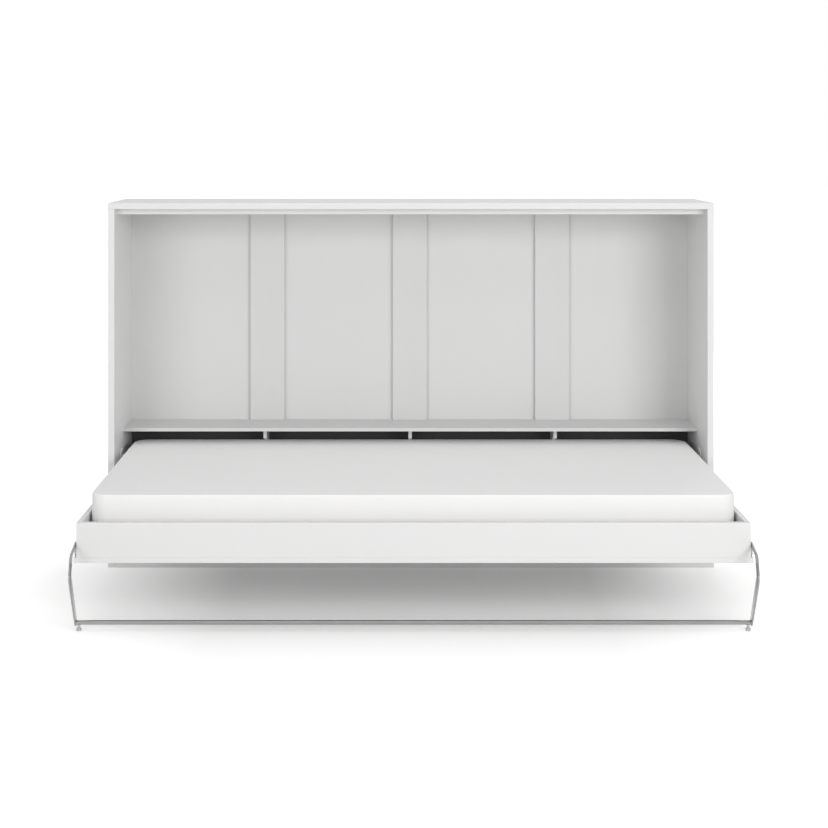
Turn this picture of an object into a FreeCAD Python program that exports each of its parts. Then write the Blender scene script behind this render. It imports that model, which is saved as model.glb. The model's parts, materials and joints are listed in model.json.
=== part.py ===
import FreeCAD, Part
import math
import os

# Horizontal cabinet bed, shown open: a low wide cabinet against the wall and a single bed that folds down
# sideways from it. All sizes in millimetres. X runs along the bed, Y towards the wall, Z up. The sizes below
# count Y from the cabinet's front plane; save() then moves everything so that the origin lies on the floor
# under the middle of the whole object.

Vector = FreeCAD.Vector
eX = Vector(1, 0, 0)
eY = Vector(0, 1, 0)
eZ = Vector(0, 0, 1)

# ---- driving dimensions ------------------------------------------------------------------------------

# cabinet carcass
boardThickness = 22.0         # side and top boards
boardEdgeRound = 1.0          # softened edges of the coated boards
topRailSetback = 45.0
topRailThickness = 20.0
topRailDepth = 100.0
plinthThickness = 16.0
plinthClearance = 4.0         # below the bed's swing
backPanelThickness = 4.0
backPanelCount = 4
backPanelFoot = 20.0          # air gap under the back panels
battenWidth = 126.0
battenThickness = 16.0
shelfTop = 451.0
shelfThickness = 12.0
shelfMattressGap = 4.0        # shelf's front edge to the mattress, bed closed
supportThickness = 12.0
supportNoseSetback = 59.0     # front of a support behind the shelf's front edge
supportPostDepth = 72.0
supportArmGap = 5.0           # mattress to the underside of a support's arm
supportNoseRound = 6.0
supportHeelRound = 12.0
rearRailHeight = 100.0
rearRailThickness = 16.0

# bed box
undersideHeight = 208.0       # face panel's lower face, bed open
facePanelThickness = 16.0
facePanelGap = 2.0            # face panel to side board, each side
bedBackReach = 288.0          # cabinet front plane to the back rail's rear face
bedBackGap = 12.0             # back rail to the shelf supports' posts
closedTopGap = 11.0           # closed bed to the rail under the top board
bedBoxInset = 8.0             # face panel stands past the end rails
railThickness = 16.0
railTop = 330.0
mattressLength = 2000.0       # standard single mattress, which the bed and cabinet are built round
mattressWidth = 900.0
mattressThickness = 140.0
mattressEndGap = 3.0          # mattress to hinge plate, each end
mattressBackGap = 1.0         # mattress to back rail
mattressFrontGap = 67.0       # mattress to front rail, room for bedding
mattressCornerRadius = 55.0
mattressCrown = 5.0
mattressSideDraw = 4.0
bearerHeight = 18.0
bearerDepth = 20.0
slatCount = 14
slatWidth = 64.0
slatThickness = 8.0
slatArch = 3.7
slatEndGap = 67.0             # end of the slat base to the first slat's centre
holderLength = 26.0
holderWall = 2.0
holderClearance = 0.3
cornerBracketLeg = 34.0
cornerBracketHeight = 60.0
cornerBracketSheet = 2.5

# fold pivot and its plates
pivotHeight = 358.5
closedProud = 4.0             # closed face panel stands this far out of the cabinet front
pivotPinRadius = 6.0
pivotPinTail = 2.0            # pin past the bush
pivotCollarRadius = 7.0
pivotClearance = 0.05
bushRadius = 9.0
bushFlangeRadius = 13.0
bushFlangeThickness = 1.0
hingeSheet = 4.0
hingeEarRadius = 28.0
hingeEarFlare = 16.0
hingePlateTip = 10.0
hingePlateBlend = 20.0
hingePlateCorner = 12.0
hingeScrewCircle = 22.0       # upper screws of the cabinet's plate, from the pivot
plateScrewInset = 25.0        # bed plate's screws from its edges
bedPlateFront = -145.0        # front end of the bed's hinge plate
bedPlateTop = 325.0
endRailBack = 8.0             # end rails stop just inside the cabinet

# gas struts
strutPanelGap = 16.5          # the face panel passes this far beyond the struts' ends
strutBedAngle = -30.0         # bed end, degrees above the forward direction
strutSpanAngle = 72.0         # from the cabinet end to the bed end, seen from the pivot
foldAngle = 90.0
strutTubeRadius = 9.0
strutTubeBore = 7.0
strutEyeRadius = 8.0
strutEyeThickness = 9.0
strutStudRadius = 4.0
strutCollarRadius = 7.0
strutRodRadius = 4.0
strutRodClearance = 0.08
strutPistonClearance = 0.06
strutPistonLength = 7.0
strutTubeStart = 12.0
strutRodShow = 13.7           # rod between gland and end pivot, bed open
strutGlandLength = 6.0
strutRodTail = 16.0
strutEndWall = 3.0
strutNeckOverlap = 3.0
sideGap = 0.3                 # running gap beside eyes, arms and studs

# leg
legPivotSetback = 20.0        # leg pivot behind the front rail's face
legPivotLift = 12.0           # leg pivot above the face panel
legArmGap = 1.0               # end rail to arm
legArmSheet = 5.0
legBossRadius = 11.5
legNeckAngle = 73.0           # neck above the forward direction
legNeckWidth = 16.0
legNeckLength = 36.0
legNeckRound = 10.0
legShoulderReach = 93.0       # upper front corner ahead of the pivot
legShoulderRise = 13.0
legShoulderRound = 22.0
legShoulderWidth = 25.0
legKneeReach = 115.0          # lower front corner ahead of the pivot
legKneeDrop = 53.0
legKneeRound = 40.0
legKneeWidth = 27.0
legInnerRound = 16.0
legThroatWidth = 12.5         # top arm where it leaves the neck
legFootAdvance = 11.0         # foot ahead of the pivot, so that load keeps the leg on its stop
legEndRadius = 10.5
legBarHeight = 25.5
legBarRadius = 7.0
legBarWall = 1.5
legFootRadius = 7.5
legFootDisc = 9.0
legFootStem = 4.5
legWasherRadius = 9.0
legBoltRadius = 3.5
legBoltHeadRadius = 8.0
legBoltHeadThickness = 2.5
legBoltTail = 14.0            # thread in the end rail
legStopRadius = 3.0
legStopReach = 20.0

# wall brackets and screws
bracketLeg = 36.0
bracketWidth = 60.0
bracketSheet = 3.0
wallHoleRadius = 3.5
wallHoleDrop = 22.0
screwShankRadius = 2.5
screwHeadRadius = 5.0
screwHeadHeight = 2.4
screwLength = 15.0
screwClearance = 0.1

# ---- derived places ----------------------------------------------------------------------------------

plateInner = mattressLength / 2 + mattressEndGap
endInner = plateInner + hingeSheet
boxHalf = endInner + railThickness
panelHalf = boxHalf + bedBoxInset
innerHalf = panelHalf + facePanelGap
halfWidth = innerHalf + boardThickness
cabinetWidth = halfWidth * 2

panelTop = undersideHeight + facePanelThickness
bearerTop = panelTop + bearerHeight
slatTop = bearerTop + holderWall + slatArch + slatThickness
mattressFoot = slatTop + sideGap
mattressTop = mattressFoot + mattressThickness
backInner = bedBackReach - railThickness
mattressBack = backInner - mattressBackGap
mattressFront = mattressBack - mattressWidth
frontInner = mattressFront - mattressFrontGap
bedFront = frontInner - railThickness

pivotDepth = pivotHeight - undersideHeight - closedProud
railUnderside = pivotHeight + pivotDepth - bedFront + closedTopGap
underTop = railUnderside + topRailThickness
cabinetHeight = underTop + boardThickness
supportPost = bedBackReach + bedBackGap
carcassDepth = supportPost + supportPostDepth
wallPlane = carcassDepth + backPanelThickness
closedMattressPlane = pivotDepth + mattressTop - pivotHeight
shelfFront = closedMattressPlane + shelfMattressGap
supportFront = shelfFront + supportNoseSetback

cabinetPlateInner = innerHalf - hingeSheet
strutMiddle = (endInner + cabinetPlateInner) / 2
eyeInner = strutMiddle - strutEyeThickness / 2
eyeOuter = strutMiddle + strutEyeThickness / 2

legPivotY = bedFront + legPivotSetback
legPivotHeight = panelTop + legPivotLift
legFootY = legPivotY - legFootAdvance
armInner = boxHalf + legArmGap
armOuter = armInner + legArmSheet

# The plinth ends below the open bed and below the arc of the face panel's rear edge.
sweepRadius = math.hypot(bedBackReach - pivotDepth, pivotHeight - undersideHeight)
sweepOverPlinth = pivotHeight - math.sqrt(sweepRadius ** 2 - (pivotDepth - plinthThickness) ** 2)
plinthHeight = min(sweepOverPlinth, undersideHeight) - plinthClearance
strutRadius = pivotHeight - panelTop - strutPanelGap


def aroundPivot(radius, angle):
    """Y and Z of a point seen from the fold pivot; the angle counts from forward, upwards."""
    turn = math.radians(angle)
    return pivotDepth - radius * math.cos(turn), pivotHeight + radius * math.sin(turn)


strutCabinetEnd = aroundPivot(strutRadius, strutBedAngle - strutSpanAngle)
strutBedEnd = aroundPivot(strutRadius, strutBedAngle)
strutShort = 2 * strutRadius * math.sin(math.radians(strutSpanAngle) / 2)
strutLong = 2 * strutRadius * math.sin(math.radians(strutSpanAngle + foldAngle) / 2)
strutStroke = strutLong - strutShort
strutDirection = Vector(0, strutBedEnd[0] - strutCabinetEnd[0], strutBedEnd[1] - strutCabinetEnd[1])
strutDirection.normalize()

# ---- shape helpers -----------------------------------------------------------------------------------


def save(name, *solids):
    shapes = [solid.translated(originShift) for solid in solids]
    shape = shapes[0] if len(shapes) == 1 else Part.makeCompound(shapes)
    shape.exportStep("parts/" + name + ".step")


def block(x, y, z):
    """A box from three pairs of limits."""
    return Part.makeBox(x[1] - x[0], y[1] - y[0], z[1] - z[0], Vector(x[0], y[0], z[0]))


def board(x, y, z):
    """A coated board: a box with softened edges."""
    plain = block(x, y, z)
    return plain.makeFillet(boardEdgeRound, plain.Edges)


def rod(radius, start, direction, length):
    return Part.makeCylinder(radius, length, start, direction)


def crossRod(radius, x, y, z):
    """A round bar along X between two X limits."""
    return rod(radius, Vector(x[0], y, z), eX, x[1] - x[0])


def mirrored(solid):
    return solid.mirror(Vector(0, 0, 0), eX)


def savePair(name, solid):
    """The piece is built at the right end; its twin is the mirror image."""
    save(name + "_right", solid)
    save(name + "_left", mirrored(solid))


def roundedFace(points, radii):
    """A flat face from corner points, each corner rounded by its radius."""
    corners = []
    count = len(points)
    for index, (point, radius) in enumerate(zip(points, radii)):
        toLast = points[index - 1] - point
        toNext = points[(index + 1) % count] - point
        toLast.normalize()
        toNext.normalize()
        if radius <= 0:
            corners.append((point, None, point))
            continue
        half = toLast.getAngle(toNext) / 2
        reach = radius / math.tan(half)
        inward = toLast + toNext
        inward.normalize()
        middle = point + inward * (radius / math.sin(half) - radius)
        corners.append((point + toLast * reach, middle, point + toNext * reach))
    edges = []
    for index, (start, middle, end) in enumerate(corners):
        if middle is not None:
            edges.append(Part.Arc(start, middle, end).toShape())
        following = corners[(index + 1) % count][0]
        if end.distanceToPoint(following) > 1e-6:
            edges.append(Part.LineSegment(end, following).toShape())
    return Part.Face(Part.Wire(edges))


def sideProfile(x, points, radii):
    """A plate between two X limits, cut to an outline of (Y, Z) points."""
    face = roundedFace([Vector(x[0], y, z) for y, z in points], radii)
    return face.extrude(eX * (x[1] - x[0]))


def countersunk(face, direction, length, extra=0.0):
    """A countersunk screw, or with extra its hole; face is the centre of the head's flat top."""
    head = Part.makeCone(screwHeadRadius + extra, screwShankRadius + extra, screwHeadHeight,
                         face, direction)
    shank = rod(screwShankRadius + extra, face, direction, length + extra)
    return head.fuse(shank).removeSplitter()


# ---- cabinet -----------------------------------------------------------------------------------------


def hingePlateScrews():
    """Places of the four screws in a cabinet hinge plate, as (Y, Z)."""
    spots = [aroundPivot(hingeScrewCircle, angle) for angle in (40.0, 140.0)]
    spots += [aroundPivot(strutRadius * share, strutBedAngle - strutSpanAngle) for share in (0.45, 0.75)]
    return spots


def buildSides():
    side = board((innerHalf, halfWidth), (0, carcassDepth), (0, underTop))
    for y, z in hingePlateScrews():
        side = side.cut(countersunk(Vector(cabinetPlateInner, y, z), eX, screwLength, screwClearance))
    savePair("side_panel", side)


def buildTop():
    save("top_panel", board((-halfWidth, halfWidth), (0, carcassDepth), (underTop, cabinetHeight)))
    rail = board((-innerHalf, innerHalf), (topRailSetback, topRailSetback + topRailDepth),
                 (railUnderside, underTop))
    save("top_rail", rail)


def buildFloorBoards():
    save("plinth_board", board((-innerHalf, innerHalf), (0, plinthThickness), (0, plinthHeight)))
    rear = board((-innerHalf, innerHalf), (carcassDepth - rearRailThickness, carcassDepth),
                 (0, rearRailHeight))
    save("rear_rail", rear)


def bracketPlaces():
    """X of the wall brackets: the middle of each outer back panel."""
    bay = cabinetWidth / backPanelCount
    outer = halfWidth - bay / 2
    return [-outer, outer]


def wallHole(x):
    """The wall screw's way through bracket and back panel."""
    start = carcassDepth - bracketSheet * 2
    return rod(wallHoleRadius, Vector(x, start, underTop - wallHoleDrop), eY, wallPlane - start + 1)


def buildBack():
    bay = cabinetWidth / backPanelCount
    for index in range(backPanelCount):
        left = -halfWidth + index * bay
        panel = block((left, left + bay), (carcassDepth, wallPlane), (backPanelFoot, cabinetHeight))
        for x in bracketPlaces():
            if left < x < left + bay:
                panel = panel.cut(wallHole(x))
        save("back_panel_" + str(index + 1), panel)
    for index in range(1, backPanelCount):
        middle = -halfWidth + index * bay
        batten = board((middle - battenWidth / 2, middle + battenWidth / 2),
                       (carcassDepth - battenThickness, carcassDepth), (shelfTop, underTop))
        save("back_batten_" + str(index), batten)


def buildShelf():
    shelf = board((-innerHalf, innerHalf), (shelfFront, carcassDepth),
                  (shelfTop - shelfThickness, shelfTop))
    save("back_shelf", shelf)
    under = shelfTop - shelfThickness
    armFoot = mattressTop + supportArmGap
    outline = [(supportFront, under), (carcassDepth, under), (carcassDepth, rearRailHeight),
               (carcassDepth - rearRailThickness, rearRailHeight),
               (carcassDepth - rearRailThickness, 0), (supportPost, 0),
               (supportPost, armFoot), (supportFront, armFoot)]
    bay = cabinetWidth / backPanelCount
    for index in range(1, backPanelCount):
        middle = -halfWidth + index * bay
        edges = (middle - supportThickness / 2, middle + supportThickness / 2)
        support = sideProfile(edges, outline, [0, 0, 0, 0, 0, 0, supportHeelRound, supportNoseRound])
        save("shelf_support_" + str(index), support)


def buildWallBrackets():
    for side, x in zip(("left", "right"), bracketPlaces()):
        span = (x - bracketWidth / 2, x + bracketWidth / 2)
        flat = block(span, (carcassDepth - bracketLeg, carcassDepth), (underTop - bracketSheet, underTop))
        upright = block(span, (carcassDepth - bracketSheet, carcassDepth),
                        (underTop - bracketLeg, underTop))
        bracket = flat.fuse(upright).removeSplitter().cut(wallHole(x))
        for offset in (-bracketWidth / 4, bracketWidth / 4):
            spot = Vector(x + offset, carcassDepth - bracketLeg / 2, underTop - bracketSheet)
            bracket = bracket.cut(countersunk(spot, eZ, bracketSheet, screwClearance))
        save("wall_bracket_" + side, bracket)


def buildCabinetHinge():
    near = Vector(cabinetPlateInner, pivotDepth, pivotHeight)
    far = Vector(cabinetPlateInner, *strutCabinetEnd)
    along = far - near
    length = along.Length
    along.normalize()
    across = eX.cross(along)
    tip = hingePlateTip
    corners = [near + across * hingeEarRadius - along * hingeEarRadius,
               near - across * hingeEarRadius - along * hingeEarRadius,
               near - across * hingeEarRadius + along * hingeEarRadius,
               near - across * tip + along * (length + tip),
               near + across * tip + along * (length + tip),
               near + across * hingeEarRadius + along * hingeEarRadius]
    radii = [hingeEarRadius * 0.8, hingeEarRadius * 0.8, hingePlateBlend, tip * 0.9, tip * 0.9,
             hingePlateBlend]
    plate = roundedFace(corners, radii).extrude(eX * hingeSheet)
    screws = []
    for y, z in hingePlateScrews():
        spot = Vector(cabinetPlateInner, y, z)
        plate = plate.cut(countersunk(spot, eX, screwLength, screwClearance))
        screws.append(countersunk(spot, eX, screwLength))
    savePair("cabinet_hinge_plate", plate)
    save("cabinet_hinge_screws", *(screws + [mirrored(screw) for screw in screws]))

    pinTip = plateInner - pivotPinTail
    shaft = crossRod(pivotPinRadius, (pinTip, cabinetPlateInner), pivotDepth, pivotHeight)
    collarStart = endInner + bushFlangeThickness + sideGap
    collar = crossRod(pivotCollarRadius, (collarStart, cabinetPlateInner), pivotDepth, pivotHeight)
    savePair("pivot_pin", shaft.fuse(collar).removeSplitter())

    stud = crossRod(strutStudRadius, (eyeInner - 1.5, cabinetPlateInner), *strutCabinetEnd)
    base = crossRod(strutCollarRadius, (eyeOuter + sideGap, cabinetPlateInner), *strutCabinetEnd)
    savePair("strut_stud_cabinet", stud.fuse(base).removeSplitter())


# ---- bed ---------------------------------------------------------------------------------------------


def bedPlateScrews():
    """Places of the screws through the bed's hinge plate into the end rail, as (Y, Z)."""
    heights = (panelTop + plateScrewInset, bedPlateTop - plateScrewInset)
    depths = (bedPlateFront + plateScrewInset, endRailBack - plateScrewInset)
    return [(y, z) for y in depths for z in heights]


def buildBox():
    panel = board((-panelHalf, panelHalf), (bedFront, bedBackReach), (undersideHeight, panelTop))
    save("face_panel", panel)
    front = board((-boxHalf, boxHalf), (bedFront, frontInner), (panelTop, railTop))
    save("front_rail", front)
    save("back_rail", board((-plateInner, plateInner), (backInner, bedBackReach), (panelTop, railTop)))
    end = board((endInner, boxHalf), (frontInner, endRailBack), (panelTop, railTop))
    for y, z in bedPlateScrews():
        end = end.cut(countersunk(Vector(plateInner, y, z), eX, screwLength, screwClearance))
    thread = crossRod(legBoltRadius + screwClearance, (boxHalf - legBoltTail - 0.5, boxHalf + 1),
                      legPivotY, legPivotHeight)
    savePair("end_rail", end.cut(thread))


def buildBedHinge():
    points = [(bedPlateFront, panelTop), (bedBackReach, panelTop), (bedBackReach, bedPlateTop),
              (pivotDepth + hingeEarRadius + hingeEarFlare, bedPlateTop),
              (pivotDepth + hingeEarRadius, pivotHeight + hingeEarRadius),
              (pivotDepth - hingeEarRadius, pivotHeight + hingeEarRadius),
              (pivotDepth - hingeEarRadius - hingeEarFlare, bedPlateTop), (bedPlateFront, bedPlateTop)]
    radii = [0, 0, hingePlateCorner, hingePlateCorner, hingeEarRadius * 0.9, hingeEarRadius * 0.9,
             hingePlateCorner, hingePlateCorner]
    plate = sideProfile((plateInner, endInner), points, radii)
    plate = plate.cut(crossRod(bushRadius, (plateInner - 1, endInner + 1), pivotDepth, pivotHeight))
    screws = []
    for y, z in bedPlateScrews():
        spot = Vector(plateInner, y, z)
        plate = plate.cut(countersunk(spot, eX, screwLength, screwClearance))
        screws.append(countersunk(spot, eX, screwLength))
    savePair("bed_hinge_plate", plate)
    save("bed_hinge_screws", *(screws + [mirrored(screw) for screw in screws]))

    sleeve = crossRod(bushRadius, (plateInner, endInner), pivotDepth, pivotHeight)
    flange = crossRod(bushFlangeRadius, (endInner, endInner + bushFlangeThickness),
                      pivotDepth, pivotHeight)
    bore = crossRod(pivotPinRadius + pivotClearance, (plateInner - 1, endInner + 5),
                    pivotDepth, pivotHeight)
    savePair("pivot_bush", sleeve.fuse(flange).removeSplitter().cut(bore))

    stud = crossRod(strutStudRadius, (endInner, eyeInner - sideGap), *strutBedEnd)
    base = crossRod(strutCollarRadius, (endInner, endInner + 3.0), *strutBedEnd)
    savePair("strut_stud_bed", stud.fuse(base).removeSplitter())


def buildSlatBase():
    front = board((-plateInner, plateInner), (frontInner, frontInner + bearerDepth),
                  (panelTop, bearerTop))
    back = board((-plateInner, plateInner), (backInner - bearerDepth, backInner),
                 (panelTop, bearerTop))
    middleY = (frontInner + backInner) / 2
    middle = board((-plateInner, plateInner), (middleY - bearerDepth / 2, middleY + bearerDepth / 2),
                   (panelTop, bearerTop))
    save("bearer_front", front)
    save("bearer_back", back)
    save("bearer_middle", middle)

    slatFrontEnd = frontInner + holderWall
    slatBackEnd = backInner - holderWall
    low = bearerTop + holderWall
    span = slatBackEnd - slatFrontEnd
    lower = Part.Arc(Vector(0, slatFrontEnd, low), Vector(0, middleY, low + slatArch),
                     Vector(0, slatBackEnd, low)).toShape()
    upper = Part.Arc(Vector(0, slatBackEnd, low + slatThickness),
                     Vector(0, middleY, low + slatArch + slatThickness),
                     Vector(0, slatFrontEnd, low + slatThickness)).toShape()
    backEnd = Part.LineSegment(Vector(0, slatBackEnd, low),
                               Vector(0, slatBackEnd, low + slatThickness)).toShape()
    frontEnd = Part.LineSegment(Vector(0, slatFrontEnd, low + slatThickness),
                                Vector(0, slatFrontEnd, low)).toShape()
    profile = Part.Face(Part.Wire([lower, backEnd, upper, frontEnd]))
    slat = profile.extrude(eX * slatWidth).translated(eX * (-slatWidth / 2))

    gap = holderClearance
    holders = []
    for start, mouth in ((frontInner, 1), (backInner, -1)):
        ends = sorted((start, start + mouth * holderLength))
        shell = block((-slatWidth / 2 - holderWall, slatWidth / 2 + holderWall), ends,
                      (bearerTop, low + slatThickness + gap + holderWall))
        holders.append(shell.cut(slat.translated(eZ * gap)).cut(slat.translated(eZ * -gap))
                       .cut(block((-slatWidth / 2 - gap, slatWidth / 2 + gap),
                                  (slatFrontEnd - gap, slatBackEnd + gap),
                                  (low, low + slatThickness + gap))))
    slats = []
    caps = []
    slatSpread = 2 * (plateInner - slatEndGap)
    pitch = slatSpread / (slatCount - 1)
    for index in range(slatCount):
        shift = eX * (-slatSpread / 2 + index * pitch)
        slats.append(slat.translated(shift))
        caps += [holder.translated(shift) for holder in holders]
    save("slats", *slats)
    save("slat_holders", *caps)


def mattressSection(z, inset):
    """One level of the mattress: a rectangle with rounded corners, drawn in by inset."""
    x = mattressLength / 2 - inset
    front = mattressFront + inset
    back = mattressBack - inset
    points = [Vector(-x, front, z), Vector(x, front, z), Vector(x, back, z), Vector(-x, back, z)]
    return roundedFace(points, [mattressCornerRadius - inset / 2] * 4).OuterWire


def buildMattress():
    """Drawn-in sides between piped edges, and a low crown over the top."""
    side = mattressTop - mattressCrown
    levels = [(mattressFoot, 8.0), (mattressFoot + 10.0, 0.0),
              ((mattressFoot + side) / 2, mattressSideDraw), (side - 12.0, 0.0),
              (side, 9.0), (mattressTop, mattressWidth / 4)]
    solids = []
    for (low, lowInset), (high, highInset) in zip(levels, levels[1:]):
        sections = [mattressSection(low, lowInset), mattressSection(high, highInset)]
        solids.append(Part.makeLoft(sections, True, True))
    body = solids[0]
    for solid in solids[1:]:
        body = body.fuse(solid)
    save("mattress", body.removeSplitter())


def buildBedIron():
    low = bearerTop + 2.0
    high = low + cornerBracketHeight
    frontY = (frontInner, frontInner + cornerBracketLeg)
    sheetX = (endInner - cornerBracketSheet, endInner)
    long = block(sheetX, frontY, (low, high))
    cross = block((endInner - cornerBracketLeg, endInner), (frontInner, frontInner + cornerBracketSheet),
                  (low, high))
    corner = long.fuse(cross).removeSplitter()
    save("corner_brackets", corner, mirrored(corner))


# ---- leg ---------------------------------------------------------------------------------------------


def offsetCorner(last, corner, following, before, after):
    """The corner of the inner edge: the two sides moved inwards by their own widths."""
    one = corner - last
    two = following - corner
    one.normalize()
    two.normalize()
    normalOne = eX.cross(one)
    normalTwo = eX.cross(two)
    start = last + normalOne * before
    target = corner + normalTwo * after
    share = (target - start).cross(two).x / one.cross(two).x
    return start + one * share


def tangentPoint(corner, centre, radius, side):
    """Where the line from the corner touches the circle, on the wanted side."""
    reach = corner - centre
    lean = math.degrees(math.acos(radius / reach.Length)) * side
    turned = FreeCAD.Rotation(eX, lean).multVec(reach)
    turned.normalize()
    return centre + turned * radius


def legOutline():
    """Corners and radii of the arm's flat outline, from the neck over the hook down to the foot."""
    pivot = Vector(armInner, legPivotY, legPivotHeight)
    foot = Vector(armInner, legFootY, legBarHeight)
    turn = math.radians(legNeckAngle)
    along = Vector(0, -math.cos(turn), math.sin(turn))
    across = Vector(0, math.sin(turn), math.cos(turn)) * (legNeckWidth / 2)
    crown = pivot + across + along * legNeckLength
    shoulder = pivot + Vector(0, -legShoulderReach, legShoulderRise)
    knee = pivot + Vector(0, -legKneeReach, -legKneeDrop)
    footFront = tangentPoint(knee, foot, legEndRadius, 1)
    innerKnee = offsetCorner(shoulder, knee, footFront, legShoulderWidth, legKneeWidth)
    innerShoulder = offsetCorner(crown, shoulder, knee, legThroatWidth, legShoulderWidth)
    throatStart = pivot - across
    throat = offsetCorner(throatStart + across * 2, crown, shoulder, legNeckWidth, legThroatWidth)
    footBack = tangentPoint(innerKnee, foot, legEndRadius, -1)
    points = [pivot + across, crown, shoulder, knee, footFront, foot, footBack, innerKnee,
              innerShoulder, throat, throatStart]
    radii = [0, legNeckRound, legShoulderRound, legKneeRound, 0, 0, 0, legInnerRound,
             legInnerRound, 5, 0]
    return points, radii


def buildArm():
    points, radii = legOutline()
    plate = roundedFace(points, radii).extrude(eX * legArmSheet)
    boss = crossRod(legBossRadius, (armInner, armOuter), legPivotY, legPivotHeight)
    footBoss = crossRod(legEndRadius, (armInner, armOuter), legFootY, legBarHeight)
    bore = crossRod(legBoltRadius + pivotClearance, (armInner - 1, armOuter + 1),
                    legPivotY, legPivotHeight)
    return plate.fuse(boss).fuse(footBoss).cut(bore).removeSplitter()


arm = buildArm()
originShift = Vector(0, -(arm.BoundBox.YMin + wallPlane) / 2, 0)


def stopPlace():
    """The stop pin stands just behind the neck when the leg is down."""
    turn = math.radians(legNeckAngle)
    aside = legNeckWidth / 2 + legStopRadius + sideGap
    return (legPivotY - legStopReach * math.cos(turn) + aside * math.sin(turn),
            legPivotHeight + legStopReach * math.sin(turn) + aside * math.cos(turn))


def buildLeg():
    savePair("leg_arm", arm)
    outside = crossRod(legBarRadius, (-armInner, armInner), legFootY, legBarHeight)
    inside = crossRod(legBarRadius - legBarWall, (-armInner - 1, armInner + 1), legFootY, legBarHeight)
    save("leg_bar", outside.cut(inside))
    middle = armInner - legFootRadius
    disc = rod(legFootRadius, Vector(middle, legFootY, 0), eZ, legFootDisc)
    disc = disc.makeFillet(1.2, disc.Edges)
    stem = rod(legFootStem, Vector(middle, legFootY, legFootDisc - 1.0), eZ,
               legBarHeight - legFootDisc + 1.0)
    savePair("leg_foot", disc.fuse(stem).cut(outside).removeSplitter())


def buildLegPivot():
    headX = (armOuter + sideGap, armOuter + sideGap + legBoltHeadThickness)
    shaft = crossRod(legBoltRadius, (boxHalf - legBoltTail, headX[1]), legPivotY, legPivotHeight)
    head = crossRod(legBoltHeadRadius, headX, legPivotY, legPivotHeight)
    savePair("leg_pivot_bolt", shaft.fuse(head).removeSplitter())
    washer = crossRod(legWasherRadius, (boxHalf, armInner - sideGap), legPivotY, legPivotHeight)
    hole = crossRod(legBoltRadius, (boxHalf - 1, armInner), legPivotY, legPivotHeight)
    washer = washer.cut(hole)
    save("leg_washers", washer, mirrored(washer))
    stop = crossRod(legStopRadius, (boxHalf, armOuter), *stopPlace())
    save("leg_stop_pins", stop, mirrored(stop))


# ---- gas struts --------------------------------------------------------------------------------------


def alongStrut(distance):
    return Vector(strutMiddle, *strutCabinetEnd) + strutDirection * distance


def strutEye(distance, bore):
    y, z = alongStrut(distance).y, alongStrut(distance).z
    eye = crossRod(strutEyeRadius, (eyeInner, eyeOuter), y, z)
    return eye, crossRod(bore, (eyeInner - 1, eyeOuter + 1), y, z)


def buildStrut():
    strutTubeEnd = strutShort - strutRodShow
    length = strutTubeEnd - strutTubeStart
    barrel = rod(strutTubeRadius, alongStrut(strutTubeStart), strutDirection, length)
    eye, hole = strutEye(0, strutStudRadius + pivotClearance)
    neck = rod(strutRodRadius, alongStrut(strutEyeRadius - strutNeckOverlap), strutDirection,
               strutTubeStart - strutEyeRadius + strutNeckOverlap + 1)
    chamber = rod(strutTubeBore, alongStrut(strutTubeStart + strutEndWall), strutDirection,
                  length - strutEndWall - strutGlandLength)
    mouth = rod(strutRodRadius + strutRodClearance,
                alongStrut(strutTubeEnd - strutGlandLength - 1), strutDirection, strutGlandLength + 2)
    tube = barrel.fuse(neck).fuse(eye).cut(hole).cut(chamber).cut(mouth)
    savePair("strut_tube", tube.removeSplitter())

    endEye, endHole = strutEye(strutShort, strutStudRadius + pivotClearance)
    shaft = rod(strutRodRadius, alongStrut(strutRodTail), strutDirection,
                strutShort - strutEyeRadius + 2 - strutRodTail)
    piston = rod(strutTubeBore - strutPistonClearance, alongStrut(strutRodTail), strutDirection,
                 strutPistonLength)
    savePair("strut_rod", shaft.fuse(piston).fuse(endEye).cut(endHole).removeSplitter())


def main():
    os.makedirs("parts", exist_ok=True)
    buildSides()
    buildTop()
    buildFloorBoards()
    buildBack()
    buildShelf()
    buildWallBrackets()
    buildCabinetHinge()
    buildBox()
    buildBedHinge()
    buildSlatBase()
    buildMattress()
    buildBedIron()
    buildLeg()
    buildLegPivot()
    buildStrut()


main()
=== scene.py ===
import bpy
import bmesh
import json
import math
from mathutils import Matrix, Vector


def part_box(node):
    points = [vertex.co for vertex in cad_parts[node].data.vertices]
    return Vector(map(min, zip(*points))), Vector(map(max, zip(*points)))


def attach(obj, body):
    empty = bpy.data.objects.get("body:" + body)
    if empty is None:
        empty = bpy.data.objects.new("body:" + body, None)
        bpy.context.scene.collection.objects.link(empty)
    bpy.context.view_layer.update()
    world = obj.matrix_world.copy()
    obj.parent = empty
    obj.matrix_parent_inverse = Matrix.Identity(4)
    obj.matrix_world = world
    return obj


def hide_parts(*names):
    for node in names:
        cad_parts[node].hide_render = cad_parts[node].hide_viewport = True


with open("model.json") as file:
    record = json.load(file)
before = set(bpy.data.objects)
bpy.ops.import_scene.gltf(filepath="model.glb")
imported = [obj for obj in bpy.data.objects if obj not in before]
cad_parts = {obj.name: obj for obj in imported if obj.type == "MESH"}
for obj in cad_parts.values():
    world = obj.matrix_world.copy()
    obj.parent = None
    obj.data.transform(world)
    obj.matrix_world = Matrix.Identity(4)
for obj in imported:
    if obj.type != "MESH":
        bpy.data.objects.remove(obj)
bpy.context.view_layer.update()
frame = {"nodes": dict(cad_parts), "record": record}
print("frame loaded:", len(frame["nodes"]), "nodes")


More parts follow.
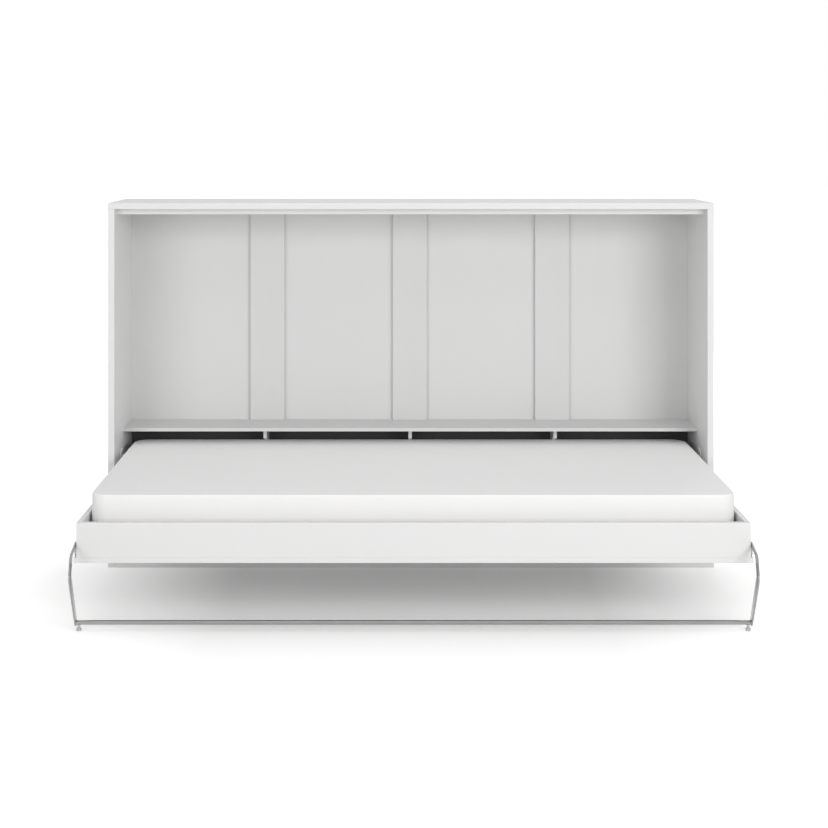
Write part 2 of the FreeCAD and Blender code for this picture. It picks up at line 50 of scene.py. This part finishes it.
class Wire:
    # one shader socket that takes plain arithmetic
    def __init__(self, tree, socket):
        self.tree = tree
        self.socket = socket

    def join(self, operation, other, flip=False):
        node = self.tree.nodes.new("ShaderNodeMath")
        node.operation = operation
        first, second = (other, self) if flip else (self, other)
        feed(self.tree, node.inputs[0], first)
        feed(self.tree, node.inputs[1], second)
        return Wire(self.tree, node.outputs[0])

    def __add__(self, other): return self.join("ADD", other)
    def __radd__(self, other): return self.join("ADD", other)
    def __sub__(self, other): return self.join("SUBTRACT", other)
    def __rsub__(self, other): return self.join("SUBTRACT", other, True)
    def __mul__(self, other): return self.join("MULTIPLY", other)
    def __rmul__(self, other): return self.join("MULTIPLY", other)
    def __pow__(self, other): return self.join("POWER", other)
    def __lt__(self, other): return self.join("LESS_THAN", other)
    def sine(self): return self.join("SINE", 0.0)
    def size(self): return self.join("ABSOLUTE", 0.0)
    def most(self, other): return self.join("MAXIMUM", other)
    def clamped(self): return self.most(0.0).join("MINIMUM", 1.0)


def feed(tree, target, value):
    if isinstance(value, Wire):
        tree.links.new(value.socket, target)
    else:
        target.default_value = value


class Finish:
    # one Principled material with object coordinates at hand
    def __init__(self, name):
        self.material = bpy.data.materials.new(name)
        self.material.use_nodes = True
        self.tree = self.material.node_tree
        self.shader = self.tree.nodes["Principled BSDF"]
        self.coords = self.tree.nodes.new("ShaderNodeTexCoord").outputs["Object"]
        self.relief = None

    def node(self, kind, **inputs):
        made = self.tree.nodes.new(kind)
        for key, value in inputs.items():
            feed(self.tree, made.inputs[key], value)
        return made

    def axes(self):
        split = self.node("ShaderNodeSeparateXYZ", Vector=Wire(self.tree, self.coords))
        return [Wire(self.tree, out) for out in split.outputs]

    def noise(self, scale, detail=2.0, roughness=0.5, stretch=None):
        where = Wire(self.tree, self.coords)
        if stretch:
            mapping = self.node("ShaderNodeMapping", Vector=where, Scale=stretch)
            where = Wire(self.tree, mapping.outputs[0])
        made = self.node("ShaderNodeTexNoise", Vector=where, Scale=scale, Detail=detail, Roughness=roughness)
        return Wire(self.tree, made.outputs[0])

    def blend(self, share, low, high):
        mix = self.tree.nodes.new("ShaderNodeMix")
        mix.data_type = "RGBA"
        feed(self.tree, mix.inputs[0], share)
        for target, value in ((mix.inputs[6], low), (mix.inputs[7], high)):
            feed(self.tree, target, value if isinstance(value, Wire) else (*value, 1.0))
        return Wire(self.tree, mix.outputs[2])

    def bump(self, height, distance):
        made = self.node("ShaderNodeBump", Height=height, Distance=distance, Strength=1.0)
        if self.relief:
            self.tree.links.new(self.relief, made.inputs["Normal"])
        self.relief = made.outputs[0]

    def done(self, **inputs):
        for key, value in inputs.items():
            feed(self.tree, self.shader.inputs[key.replace("_", " ")], value)
        if self.relief:
            self.tree.links.new(self.relief, self.shader.inputs["Normal"])
        return self.material


def grey(level):
    # a white or grey that is very slightly warm
    return (level, level, level * 0.996)


def coatedBoard(name, settings):
    # melamine on chipboard: a fine pressed grain and a very slight waviness under the sheen
    finish = Finish(name)
    cloud = finish.noise(settings["cloudScale"], detail=3.0)
    tone = finish.blend(cloud, settings["dark"], settings["light"])
    if "paintedShadeBelow" in settings:
        # below the shelf the back panels' front face is painted near-black with a faint mottle: painted
        # shade in the recess under the shelf
        y, z = finish.axes()[1:]
        shadeMottle = finish.noise(settings["shadeMottleScale"], detail=3.0, roughness=0.7)
        shadeMask = (z < settings["paintedShadeBelow"]) * (y < settings["paintedShadeFront"])
        tone = finish.blend(shadeMask, tone, finish.blend(shadeMottle, settings["paintedShadeDark"], settings["paintedShadeLight"]))
    grain = finish.noise(settings["grainScale"], detail=2.0, roughness=0.6)
    finish.bump(grain, settings["grainDepth"])
    finish.bump(finish.noise(settings["waveScale"], detail=1.0), settings["waveDepth"])
    sheen = finish.noise(settings["smearScale"], detail=3.0) * settings["spread"] + settings["roughness"]
    return finish.done(Base_Color=tone, Roughness=sheen, Specular_IOR_Level=settings["specular"])


boardLooks = {"dark": grey(0.755), "light": grey(0.785), "cloudScale": 1.6, "grainScale": 1500.0,
              "grainDepth": 0.00003, "waveScale": 30.0, "waveDepth": 0.00002, "smearScale": 7.0,
              "spread": 0.10, "roughness": 0.36, "specular": 0.4}
# a darker copy of the white board for the shelf and battens inside the niche: painted shade
insideLooks = dict(boardLooks, dark=grey(0.66), light=grey(0.69), roughness=0.44)

# the painted shade lies below the shelf's foot and on the back panels' front face
paintedShadeReach = 0.0005
backLooks = dict(boardLooks, dark=grey(0.685), light=grey(0.715), grainScale=900.0, grainDepth=0.00004,
                 waveScale=9.0, waveDepth=0.0001, roughness=0.50, shadeMottleScale=900.0,
                 paintedShadeBelow=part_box("back_shelf")[0].z - paintedShadeReach,
                 paintedShadeFront=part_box("back_panel_1")[0].y + paintedShadeReach,
                 paintedShadeDark=grey(0.08), paintedShadeLight=grey(0.11))


def polished(name, settings):
    # bare metal with fine scratches and a faint smear
    finish = Finish(name)
    smear = finish.noise(settings["smearScale"], detail=4.0)
    scratches = finish.noise(settings["scratchScale"], 2.0, 0.7, settings["scratchStretch"])
    finish.bump(scratches, settings["scratchDepth"])
    tone = finish.blend(smear, settings["dark"], settings["light"])
    sheen = smear * settings["spread"] + settings["roughness"]
    return finish.done(Base_Color=tone, Metallic=1.0, Roughness=sheen)


chromeLooks = {"dark": grey(0.31), "light": grey(0.41), "smearScale": 14.0, "scratchScale": 60.0,
               "scratchStretch": (1.0, 14.0, 14.0), "scratchDepth": 0.000015,
               "spread": 0.06, "roughness": 0.06}
zincLooks = {"dark": (0.52, 0.53, 0.55), "light": (0.66, 0.67, 0.69), "smearScale": 90.0,
             "scratchScale": 30.0, "scratchStretch": (1.0, 3.0, 30.0), "scratchDepth": 0.00004,
             "spread": 0.22, "roughness": 0.26}


def mouldedPlastic(name, settings):
    # plastic or paint with a fine moulded grain
    finish = Finish(name)
    finish.bump(finish.noise(settings["grainScale"]), settings["grainDepth"])
    tone = finish.blend(finish.noise(settings["toneScale"]), settings["dark"], settings["light"])
    sheen = finish.noise(settings["smearScale"]) * settings["spread"] + settings["roughness"]
    return finish.done(Base_Color=tone, Roughness=sheen)


darkPlastic = {"dark": (0.030, 0.030, 0.032), "light": (0.042, 0.042, 0.045), "toneScale": 25.0,
               "grainScale": 700.0, "grainDepth": 0.00008, "smearScale": 60.0, "spread": 0.12,
               "roughness": 0.45}
strutPaint = dict(darkPlastic, dark=(0.016, 0.016, 0.018), light=(0.024, 0.024, 0.026),
                  grainScale=1100.0, grainDepth=0.00002, roughness=0.24)
plateLooks = dict(darkPlastic, dark=grey(0.78), light=grey(0.82), grainScale=420.0,
                  grainDepth=0.00005, roughness=0.42)
glideLooks = dict(plateLooks, dark=grey(0.50), light=grey(0.56), grainScale=500.0, roughness=0.35)


def timber(name, settings):
    # grain along the piece, with growth bands and short pores
    finish = Finish(name)
    warp = finish.noise(settings["warpScale"], 2.0, 0.5, settings["warpStretch"])
    bands = finish.noise(settings["bandScale"], 5.0, 0.6, settings["bandStretch"])
    pores = finish.noise(settings["poreScale"], 2.0, 0.7, settings["poreStretch"])
    share = warp * settings["warpShare"] + bands * (1 - settings["warpShare"])
    tone = finish.blend(share, settings["dark"], settings["light"])
    finish.bump(pores, settings["poreDepth"])
    return finish.done(Base_Color=tone, Roughness=pores * settings["spread"] + settings["roughness"])


slatLooks = {"dark": (0.52, 0.34, 0.17), "light": (0.73, 0.55, 0.34), "warpShare": 0.35,
             "warpScale": 3.0, "warpStretch": (9.0, 1.0, 9.0), "bandScale": 16.0,
             "bandStretch": (9.0, 0.5, 9.0), "poreScale": 160.0, "poreStretch": (6.0, 0.5, 6.0),
             "poreDepth": 0.00012, "spread": 0.15, "roughness": 0.42}
bearerLooks = dict(slatLooks, dark=(0.55, 0.40, 0.24), light=(0.74, 0.60, 0.41),
                   warpStretch=(0.4, 9.0, 9.0), bandStretch=(0.5, 9.0, 9.0),
                   poreStretch=(0.5, 6.0, 6.0), roughness=0.5)


def knitCover(name, settings):
    # small stitches in rows, slack rows in places, and a soft pile
    finish = Finish(name)
    x, y, z = finish.axes()
    pitch = 2 * math.pi / settings["stitch"]
    spacing = settings["rowSpacing"]
    drift = finish.noise(settings["driftScale"]) * settings["drift"]
    across = (x * pitch + drift).sine()
    along = (y * pitch * spacing + z * pitch * spacing + drift).sine()
    stitches = (across * along).size() ** settings["stitchPower"]
    fuzz = finish.noise(settings["fuzzScale"], detail=3.0, roughness=0.7)
    slack = finish.noise(settings["slackScale"], 3.0, 0.5, settings["slackStretch"])
    shade = stitches * (1 - settings["fuzzTone"]) + fuzz * settings["fuzzTone"]
    tone = finish.blend(shade, settings["dark"], settings["light"])
    pile = stitches * (1 - settings["fuzzRelief"]) + fuzz * settings["fuzzRelief"]
    finish.bump(pile, settings["stitchDepth"])
    finish.bump(slack, settings["slackDepth"])
    return finish.done(Base_Color=tone, Roughness=fuzz * settings["spread"] + settings["roughness"],
                       Sheen_Weight=settings["sheen"], Sheen_Roughness=settings["sheenRoughness"])


coverLooks = {"dark": grey(0.91), "light": grey(0.97), "stitch": 0.0024, "rowSpacing": 0.8,
              "stitchPower": 0.7, "stitchDepth": 0.00012, "driftScale": 60.0, "drift": 2.2,
              "fuzzScale": 1300.0, "fuzzTone": 0.5, "fuzzRelief": 0.3, "slackScale": 3.2,
              "slackStretch": (1.0, 2.2, 2.2), "slackDepth": 0.0012, "spread": 0.1,
              "roughness": 0.82, "sheen": 0.15, "sheenRoughness": 0.5}

finishes = {
    "board": coatedBoard("whiteBoard", boardLooks),
    "back": coatedBoard("backBoardAndPaintedShade", backLooks),
    "inside": coatedBoard("insideBoard", insideLooks),
    "chrome": polished("chrome", chromeLooks),
    "steel": polished("zincSteel", zincLooks),
    "bush": mouldedPlastic("blackNylon", darkPlastic),
    "holder": mouldedPlastic("holderPlastic", darkPlastic),
    "strut": mouldedPlastic("strutPaint", strutPaint),
    "slat": timber("birchSlat", slatLooks),
    "bearer": timber("pineBearer", bearerLooks),
    "fabric": knitCover("knitCover", coverLooks),
    "plate": mouldedPlastic("whitePowderCoat", plateLooks),
    "glide": mouldedPlastic("greyGlide", glideLooks),
}
slotOf = {entry["node"]: entry["material_slot"] for entry in frame["record"]["subparts"]}
# the shelf and battens take the darker board copy, as painted shade
insideNodes = ["back_shelf", "back_batten_1", "back_batten_2", "back_batten_3"]
for nodeName, node in frame["nodes"].items():
    node.data.materials.clear()
    node.data.materials.append(finishes["inside" if nodeName in insideNodes else slotOf[nodeName]])
print("finishes set")


def objectFrom(mesh, name, finish):
    data = bpy.data.meshes.new(name)
    bmesh.ops.recalc_face_normals(mesh, faces=mesh.faces)
    mesh.to_mesh(data)
    mesh.free()
    made = bpy.data.objects.new(name, data)
    bpy.context.scene.collection.objects.link(made)
    data.materials.append(finishes[finish])
    return made


def smoothBy(target, degrees):
    for face in target.data.polygons:
        face.use_smooth = True
    target.data.set_sharp_from_angle(angle=math.radians(degrees))


def applyModifiers(target):
    graph = bpy.context.evaluated_depsgraph_get()
    data = bpy.data.meshes.new_from_object(target.evaluated_get(graph))
    target.modifiers.clear()
    old = target.data
    target.data = data
    bpy.data.meshes.remove(old)


softening = {"merge": 0.00001, "flatDegrees": 0.5, "sharpDegrees": 35.0, "smoothDegrees": 40.0}


def softenedCopy(nodeName, width, name, segments=3, rounded=True):
    # the CAD piece again, with its cut edges rounded over, or only chamfered
    mesh = bmesh.new()
    mesh.from_mesh(frame["nodes"][nodeName].data)
    bmesh.ops.remove_doubles(mesh, verts=mesh.verts, dist=softening["merge"])
    bmesh.ops.dissolve_limit(mesh, angle_limit=math.radians(softening["flatDegrees"]),
                             verts=mesh.verts, edges=mesh.edges)
    sharp = [edge for edge in mesh.edges if len(edge.link_faces) == 2
             and edge.calc_face_angle(0.0) > math.radians(softening["sharpDegrees"])]
    bmesh.ops.bevel(mesh, geom=sharp, offset=width, segments=segments, profile=0.5, affect="EDGES",
                    material=-1, clamp_overlap=True)
    made = objectFrom(mesh, name, slotOf[nodeName])
    if rounded:
        smoothBy(made, softening["smoothDegrees"])
    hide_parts(nodeName)
    body = next(b for b, members in frame["record"]["behaviour"]["bodies"].items() if nodeName in members)
    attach(made, body)


mattress = {"corner": 0.055, "cornerSegments": 10, "edge": 0.0045, "edgeSegments": 3, "grid": 0.045,
            "rows": 5, "margin": 0.0008, "crown": 0.0005, "domePower": 2.5, "rise": 0.0015,
            "subdivisions": 2, "smoothDegrees": 60.0, "uprightClimb": 0.01, "levelClimb": 0.0001,
            "facingUp": 0.9, "rimAngle": 0.5}
coverCloth = {"pressure": 3.0, "quality": 4, "tension": 18.0, "bending": 0.6, "frames": 14,
              "swell": 0.0014}


def climb(edge):
    return abs(edge.verts[0].co.z - edge.verts[1].co.z)


def slab(low, high, settings):
    # a block with round upright corners, then small round rims at top and foot
    mesh = bmesh.new()
    bmesh.ops.create_cube(mesh, size=1.0)
    bmesh.ops.scale(mesh, vec=high - low, verts=mesh.verts)
    bmesh.ops.translate(mesh, vec=(low + high) / 2, verts=mesh.verts)
    upright = [edge for edge in mesh.edges if climb(edge) > settings["uprightClimb"]]
    bmesh.ops.bevel(mesh, geom=upright, offset=settings["corner"], segments=settings["cornerSegments"],
                    profile=0.5, affect="EDGES", material=-1)
    rims = [edge for edge in mesh.edges if climb(edge) < settings["levelClimb"]
            and any(abs(face.normal.z) > settings["facingUp"] for face in edge.link_faces)
            and edge.calc_face_angle(0.0) > settings["rimAngle"]]
    bmesh.ops.bevel(mesh, geom=rims, offset=settings["edge"], segments=settings["edgeSegments"],
                    profile=0.5, affect="EDGES", material=-1)
    return mesh


def cutNet(mesh, low, high, pitch, rows):
    # cuts a regular net into the slab, so that the cover can bulge between its edges
    size = high - low
    for axis, count in ((0, round(size.x / pitch)), (1, round(size.y / pitch)), (2, rows)):
        normal = Vector((0, 0, 0))
        normal[axis] = 1.0
        for step in range(1, count):
            place = low + normal * size[axis] * step / count
            everything = list(mesh.verts) + list(mesh.edges) + list(mesh.faces)
            bmesh.ops.bisect_plane(mesh, geom=everything, plane_co=place, plane_no=normal, dist=0.0001)


def inflate(target, settings):
    # a light cloth run rounds the cover over its foam, and no point moves further than the swell
    rest = [vert.co.copy() for vert in target.data.vertices]
    cloth = target.modifiers.new("cloth", "CLOTH")
    cloth.settings.use_pressure = True
    cloth.settings.uniform_pressure_force = settings["pressure"]
    cloth.settings.quality = settings["quality"]
    cloth.settings.effector_weights.gravity = 0.0
    cloth.settings.tension_stiffness = settings["tension"]
    cloth.settings.bending_stiffness = settings["bending"]
    cloth.collision_settings.use_collision = False
    scene = bpy.context.scene
    for step in range(1, settings["frames"] + 1):
        scene.frame_set(step)
    graph = bpy.context.evaluated_depsgraph_get()
    moved = [vert.co.copy() for vert in target.evaluated_get(graph).data.vertices]
    target.modifiers.remove(cloth)
    scene.frame_set(1)
    limit = settings["swell"]
    for vert, start, end in zip(target.data.vertices, rest, moved):
        shift = end - start
        if shift.length > limit:
            shift *= limit / shift.length
        vert.co = start + shift


def fitTo(target, low, high):
    # stretches the finished cover onto the given box
    data = target.data
    least = Vector([min(v.co[axis] for v in data.vertices) for axis in range(3)])
    most = Vector([max(v.co[axis] for v in data.vertices) for axis in range(3)])
    for vert in data.vertices:
        for axis in range(3):
            share = (vert.co[axis] - least[axis]) / (most[axis] - least[axis])
            vert.co[axis] = low[axis] + share * (high[axis] - low[axis])


def buildMattress():
    low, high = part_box("mattress")
    margin = Vector((mattress["margin"],) * 3)
    mesh = slab(low + margin, high - margin, mattress)
    cutNet(mesh, low + margin, high - margin, mattress["grid"], mattress["rows"])
    cover = objectFrom(mesh, "mattressCover", "fabric")
    inflate(cover, coverCloth)
    finer = cover.modifiers.new("finer", "SUBSURF")
    finer.levels = finer.render_levels = mattress["subdivisions"]
    applyModifiers(cover)
    middle = (low + high) / 2
    half = (high - low) / 2
    power = mattress["domePower"]
    for vert in cover.data.vertices:
        across = (vert.co.x - middle.x) / half.x
        along = (vert.co.y - middle.y) / half.y
        dome = max(0.0, 1 - abs(across) ** power) * max(0.0, 1 - abs(along) ** power)
        if vert.co.z > middle.z:
            vert.co.z += (dome - 1) * mattress["crown"] * (vert.co.z - middle.z) / half.z
    # the top stands a little above the CAD piece, to meet the mattress's edge in the photo
    fitTo(cover, low + margin / 4, high - margin / 4 + Vector((0, 0, mattress["rise"])))
    smoothBy(cover, mattress["smoothDegrees"])
    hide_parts("mattress")
    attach(cover, "bed")
    return cover


cover = buildMattress()
print("mattress made:", len(cover.data.polygons), "faces")

softWidths = {"arm": 0.0009, "bracket": 0.0005, "panel": 0.0009}
for side in ("left", "right"):
    softenedCopy("leg_arm_" + side, softWidths["arm"], "legArm" + side.title())
    softenedCopy("wall_bracket_" + side, softWidths["bracket"], "wallBracket" + side.title(), 2)
for number in ("1", "2", "3", "4"):
    softenedCopy("back_panel_" + number, softWidths["panel"], "backPanel" + number, 1, False)
print("metalwork and back panels made")


fixings = {"pinRadius": 0.0026, "pinTaper": 0.6, "pinHeight": 0.0007, "pinInset": 0.009, "pinPitch": 0.16,
           "segments": 12, "smoothDegrees": 30.0}


def head(mesh, place, facing, settings):
    # a low tapered pin head standing on the board
    turn = Vector(facing).to_track_quat("Z", "Y").to_matrix().to_4x4()
    spot = Matrix.Translation(Vector(place) + Vector(facing) * settings["pinHeight"] / 2) @ turn
    bmesh.ops.create_cone(mesh, cap_ends=True, segments=settings["segments"], radius1=settings["pinRadius"],
                          radius2=settings["pinRadius"] * settings["pinTaper"], depth=settings["pinHeight"],
                          matrix=spot)


def evenly(low, high, settings):
    # places along one edge of a panel, from inset to inset
    start = low + settings["pinInset"]
    span = high - low - 2 * settings["pinInset"]
    count = round(span / settings["pinPitch"])
    return [start + span * step / count for step in range(count + 1)]


def backPins():
    # pins all round each back panel
    mesh = bmesh.new()
    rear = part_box("back_panel_1")[1].y
    inset = fixings["pinInset"]
    for number in range(1, 5):
        low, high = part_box("back_panel_" + str(number))
        for x in evenly(low.x, high.x, fixings):
            for z in (low.z + inset, high.z - inset):
                head(mesh, (x, rear, z), (0, 1, 0), fixings)
        for z in evenly(low.z, high.z, fixings)[1:-1]:
            for x in (low.x + inset, high.x - inset):
                head(mesh, (x, rear, z), (0, 1, 0), fixings)
    pins = objectFrom(mesh, "backPins", "steel")
    smoothBy(pins, fixings["smoothDegrees"])
    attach(pins, "cabinet")


backPins()
print("fixings made")


studio = {"floorSize": 40.0, "floorTone": 0.80, "floorRoughness": 0.9, "floorGlow": 0.12, "farGlow": 0.9,
          "sideStart": 0.6, "sideSlope": 0.7, "frontStart": 0.15, "frontSlope": 0.55, "worldStrength": 0.45,
          "camera": (-0.0626, -5.3013, 1.504), "lens": 68.87, "shift": (0.02545, -0.33615),
          "sensor": 36.0, "reach": 200.0}

lamps = [
    {"name": "key", "place": (3.2, -5.2, 2.1), "aim": (0.0, 0.0, 0.6), "size": 2.6, "power": 140.0},
    {"name": "fill", "place": (-3.0, -5.0, 1.8), "aim": (0.0, 0.0, 0.6), "size": 2.6, "power": 74.0},
    {"name": "top", "place": (0.0, -1.2, 4.2), "aim": (0.0, -0.2, 0.4), "size": 3.5, "power": 26.0},
    {"name": "rear", "place": (1.8, 5.0, 2.4), "aim": (0.0, 0.6, 0.5), "size": 3.0, "power": 70.0},
]


def showing(tree):
    # 1 for the rays that see the stage, directly or in a reflection, and 0 for those that only light by it
    path = tree.nodes.new("ShaderNodeLightPath")
    camera, glossy, through = [Wire(tree, path.outputs["Is " + kind + " Ray"])
                               for kind in ("Camera", "Glossy", "Transmission")]
    return camera.most(glossy).most(through)


def buildFloor():
    # dim close to the object and bright away from it, where the photo's surroundings are plain white
    mesh = bmesh.new()
    bmesh.ops.create_grid(mesh, x_segments=2, y_segments=2, size=studio["floorSize"])
    floor = bpy.data.objects.new("floor", bpy.data.meshes.new("floor"))
    mesh.to_mesh(floor.data)
    mesh.free()
    bpy.context.scene.collection.objects.link(floor)
    paint = Finish("floorPaint")
    seen = showing(paint.tree)
    x, y = paint.axes()[:2]
    # the glow is weak near the object and strong away from it, so the floor round the object reads darker:
    # painted shade over its real shadow
    sideways = ((x.size() - studio["sideStart"]) * studio["sideSlope"]).clamped()
    forward = ((y.size() - studio["frontStart"]) * studio["frontSlope"]).clamped()
    outward = 1.0 - (1.0 - sideways) * (1.0 - forward)
    lit = paint.blend(outward, (studio["floorGlow"],) * 3, (studio["farGlow"],) * 3)
    glow = paint.blend(seen, (0.0, 0.0, 0.0), lit)
    floor.data.materials.append(paint.done(
        Base_Color=(*grey(studio["floorTone"]), 1.0), Roughness=studio["floorRoughness"],
        Specular_IOR_Level=0.0, Emission_Color=glow, Emission_Strength=1.0))


def buildWorld():
    # white where it is seen, and weaker as a light
    world = bpy.data.worlds.new("studio")
    bpy.context.scene.world = world
    world.use_nodes = True
    tree = world.node_tree
    tree.nodes.clear()
    seen = showing(tree)
    soft = tree.nodes.new("ShaderNodeBackground")
    soft.inputs["Strength"].default_value = studio["worldStrength"]
    shown = tree.nodes.new("ShaderNodeBackground")
    mix = tree.nodes.new("ShaderNodeMixShader")
    out = tree.nodes.new("ShaderNodeOutputWorld")
    for background in (soft, shown):
        background.inputs["Color"].default_value = (1.0, 1.0, 1.0, 1.0)
    tree.links.new(seen.socket, mix.inputs[0])
    tree.links.new(soft.outputs[0], mix.inputs[1])
    tree.links.new(shown.outputs[0], mix.inputs[2])
    tree.links.new(mix.outputs[0], out.inputs[0])


def buildLamps():
    for lamp in lamps:
        light = bpy.data.lights.new(lamp["name"], "AREA")
        light.size = lamp["size"]
        light.energy = lamp["power"]
        holder = bpy.data.objects.new(lamp["name"], light)
        holder.visible_glossy = False  # the boards reflect the pale surroundings, not the lamps
        bpy.context.scene.collection.objects.link(holder)
        holder.location = lamp["place"]
        facing = Vector(lamp["aim"]) - Vector(lamp["place"])
        holder.rotation_euler = facing.to_track_quat("-Z", "Y").to_euler()


def buildCamera():
    # level, with a shifted lens, because upright lines are parallel in the photo
    data = bpy.data.cameras.new("camera")
    data.lens = studio["lens"]
    data.sensor_width = studio["sensor"]
    data.shift_x, data.shift_y = studio["shift"]
    data.clip_end = studio["reach"]
    camera = bpy.data.objects.new("camera", data)
    camera.location = studio["camera"]
    camera.rotation_euler = (math.radians(90.0), 0.0, 0.0)
    bpy.context.scene.collection.objects.link(camera)
    bpy.context.scene.camera = camera


buildFloor()
buildWorld()
buildLamps()
buildCamera()
bpy.context.scene.view_settings.view_transform = "Standard"
print("stage set")
